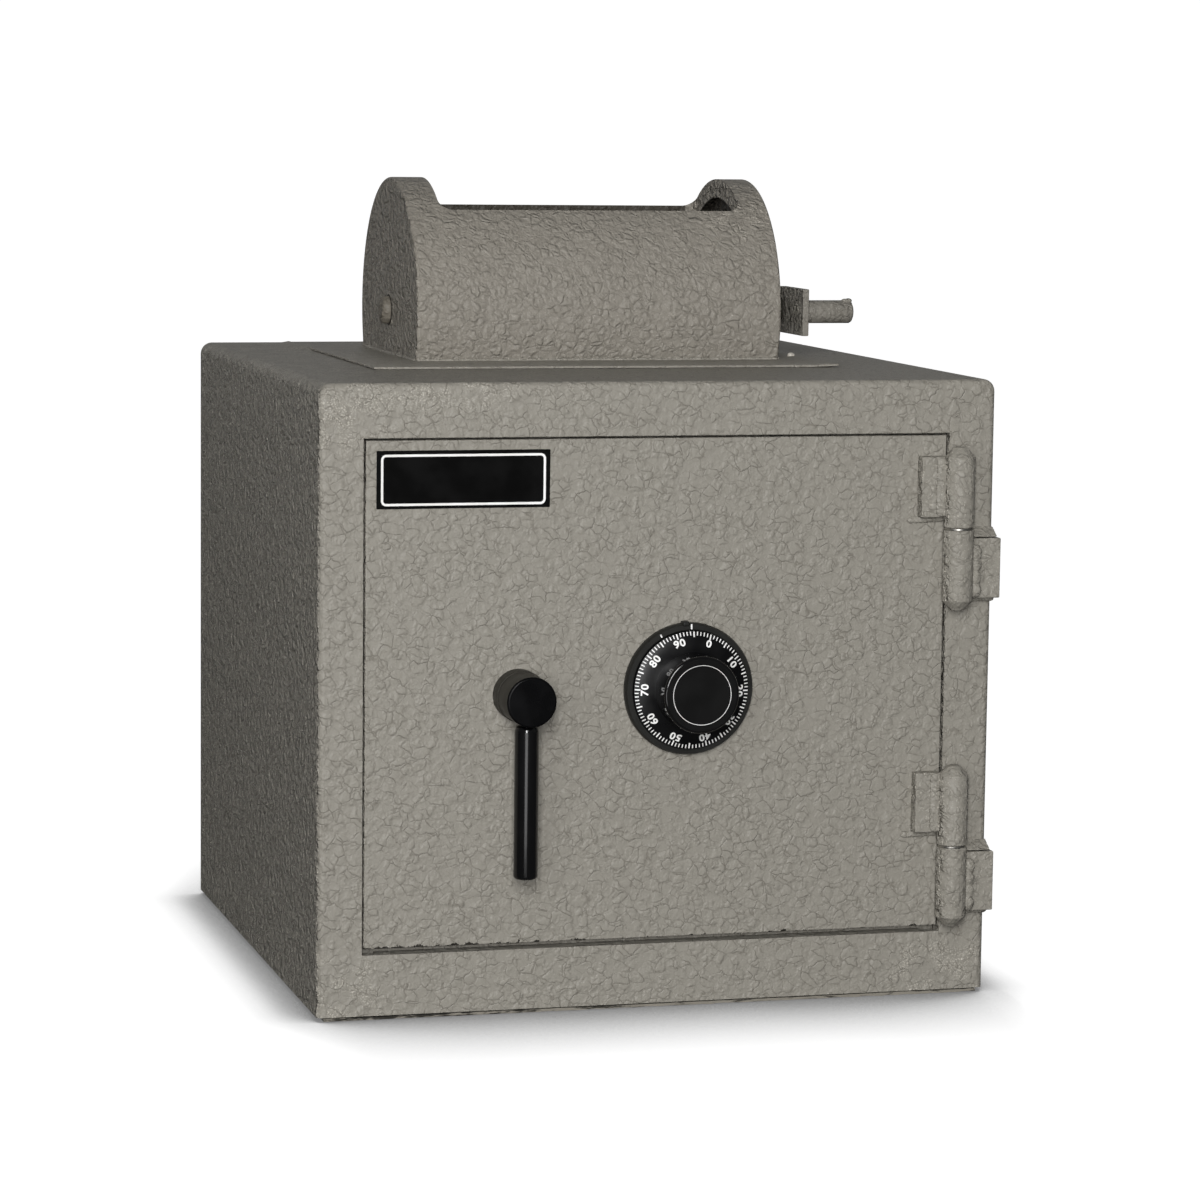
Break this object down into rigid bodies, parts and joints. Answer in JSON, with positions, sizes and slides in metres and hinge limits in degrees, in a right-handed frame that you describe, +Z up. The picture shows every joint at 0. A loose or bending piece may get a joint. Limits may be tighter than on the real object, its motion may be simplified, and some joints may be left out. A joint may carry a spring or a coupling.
{
  "type": "rotary hopper safe",
  "caption": "Small steel floor safe with a hinged front door, combination dial and lever handle, and a crank-turned deposit drum under a half-round hood on its top.",
  "frame": {"origin": "centre of the safe body's footprint, on the floor", "axes": "+X to the right seen from the front, +Y to the back, +Z up"},
  "size_m": [0.447, 0.4753, 0.5255],
  "materials": {
    "crinkle_enamel": "semi-gloss crinkle",
    "gloss_black": "gloss",
    "label_black": "satin",
    "steel": "turned",
    "zinc_steel": "zinc plated",
    "brass": "machined",
    "cast_zinc": "die cast"
  },
  "bodies": {
    "safe_body": {"body_shell": "crinkle_enamel", "front_frame": "crinkle_enamel", "back_plate": "crinkle_enamel", "bottom_plate": "crinkle_enamel", "door_stop_left": "crinkle_enamel", "door_stop_right": "crinkle_enamel", "door_stop_top": "crinkle_enamel", "door_stop_bottom": "crinkle_enamel", "hopper_flange": "crinkle_enamel", "hood_barrel": "crinkle_enamel", "hood_end_left": "crinkle_enamel", "hood_end_right": "crinkle_enamel", "axle_bush": "crinkle_enamel", "hinge_body_leaf_lower": "crinkle_enamel", "hinge_body_leaf_upper": "crinkle_enamel", "hinge_body_barrel_lower": "crinkle_enamel", "hinge_body_barrel_upper": "crinkle_enamel", "hinge_pin_lower": "steel", "hinge_pin_upper": "steel", "hinge_washer_lower": "zinc_steel", "hinge_washer_upper": "zinc_steel"},
    "drum": {"drum_barrel": "crinkle_enamel", "drum_end_left": "crinkle_enamel", "drum_end_right": "crinkle_enamel", "axle_left": "crinkle_enamel", "axle_right": "crinkle_enamel", "crank_arm": "crinkle_enamel", "crank_grip": "crinkle_enamel"},
    "door": {"door_plate": "crinkle_enamel", "label_plate": "label_black", "dead_bar": "crinkle_enamel", "door_cover": "crinkle_enamel", "hinge_door_leaf_lower": "crinkle_enamel", "hinge_door_leaf_upper": "crinkle_enamel", "hinge_door_barrel_lower": "crinkle_enamel", "hinge_door_barrel_upper": "crinkle_enamel", "handle_collar": "crinkle_enamel", "bolt_guide_lower": "zinc_steel", "bolt_guide_upper": "zinc_steel", "bar_strap": "zinc_steel", "lock_case": "cast_zinc", "lock_lid": "cast_zinc", "wheel_post": "cast_zinc", "dial_ring": "gloss_black"},
    "handle": {"handle_hub": "gloss_black", "handle_lever": "gloss_black", "handle_spindle": "steel", "spindle_crank": "steel"},
    "bolt_work": {"bolt_bar": "zinc_steel", "door_bolt_lower": "zinc_steel", "door_bolt_upper": "zinc_steel"},
    "lock_bolt_set": {"lock_bolt": "brass", "lock_lever": "brass"},
    "dial": {"dial_knob": "gloss_black", "dial_spindle": "steel", "drive_cam": "brass", "lock_wheel_1": "brass", "lock_wheel_2": "brass", "lock_wheel_3": "brass"}
  },
  "joints": [
    {"name": "drum_turn", "type": "hinge", "parent": "safe_body", "child": "drum", "pos_m": [0, 0.053, 0.43475], "axis": [-1, 0, 0], "range_deg": [0, 180]},
    {"name": "door_swing", "type": "hinge", "parent": "safe_body", "child": "door", "pos_m": [0.195, -0.229, 0], "axis": [0, 0, 1], "range_deg": [0, 180]},
    {"name": "handle_turn", "type": "hinge", "parent": "door", "child": "handle", "pos_m": [-0.09425, -0.219, 0.20575], "axis": [0, 1, 0], "range_deg": [0, 90]},
    {"name": "bolt_throw", "type": "slide", "parent": "door", "child": "bolt_work", "axis": [-1, 0, 0], "range_m": [0, 0.016]},
    {"name": "lock_bolt_slide", "type": "slide", "parent": "door", "child": "lock_bolt_set", "axis": [0, 0, -1], "range_m": [0, 0.01]},
    {"name": "dial_turn", "type": "hinge", "parent": "door", "child": "dial", "pos_m": [0.01725, -0.219, 0.207], "axis": [0, 1, 0], "continuous": true}
  ],
  "couplings": [
    {"joint": "bolt_throw", "follows": "handle_turn", "m_per_rad": 0.010185}
  ]
}
